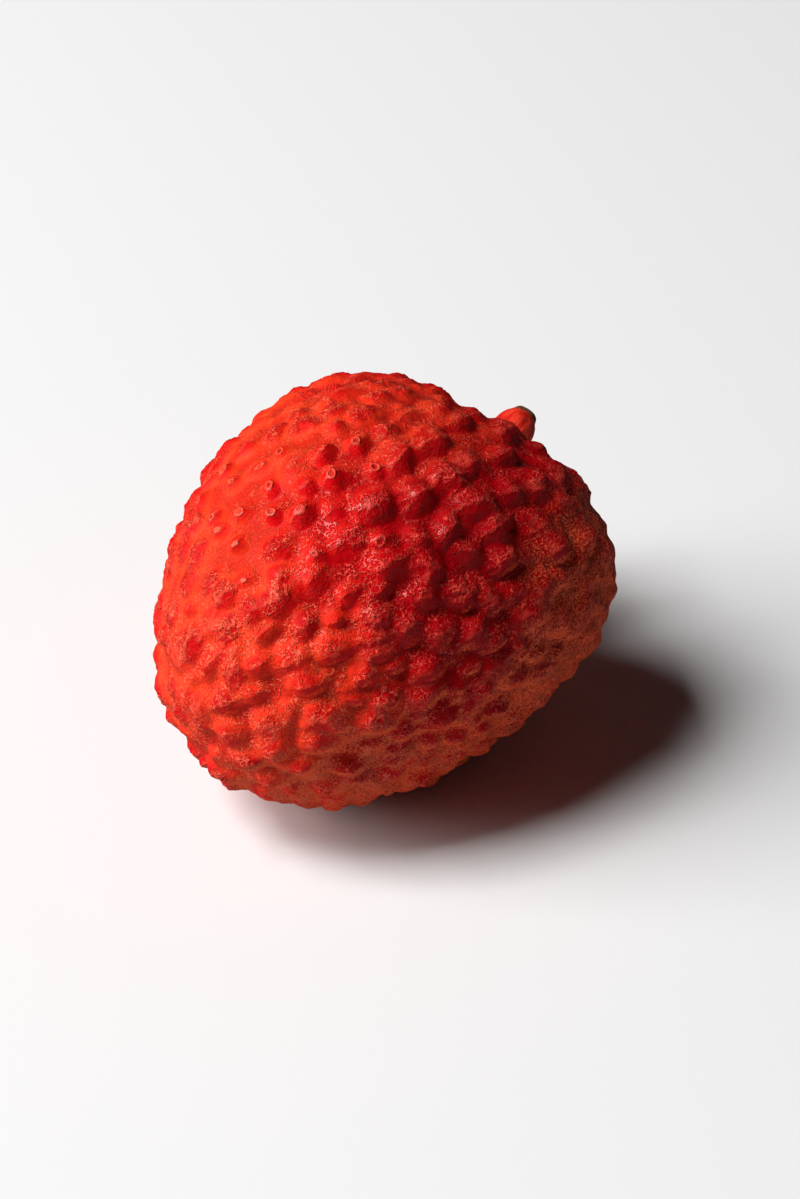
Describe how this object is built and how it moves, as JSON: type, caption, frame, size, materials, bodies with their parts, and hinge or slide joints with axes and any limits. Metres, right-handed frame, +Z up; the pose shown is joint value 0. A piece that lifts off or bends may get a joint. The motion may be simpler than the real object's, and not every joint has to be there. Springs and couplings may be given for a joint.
{
  "type": "lychee",
  "caption": "Whole ripe lychee in its warty red peel, lying on its side, with a short stub of its stalk.",
  "frame": {"origin": "middle of the underside of the bounding box, on the surface that the fruit rests on", "axes": "+X level, from the fruit's tip towards its stalk; +Y across its two shoulders, towards the slimmer one; +Z up"},
  "size_m": [0.0422, 0.0336, 0.0321],
  "materials": {
    "peel": "satin",
    "stalk_bark": "satin"
  },
  "bodies": {
    "root": {"fruit": "peel", "stalk_stub": "stalk_bark"}
  },
  "joints": []
}
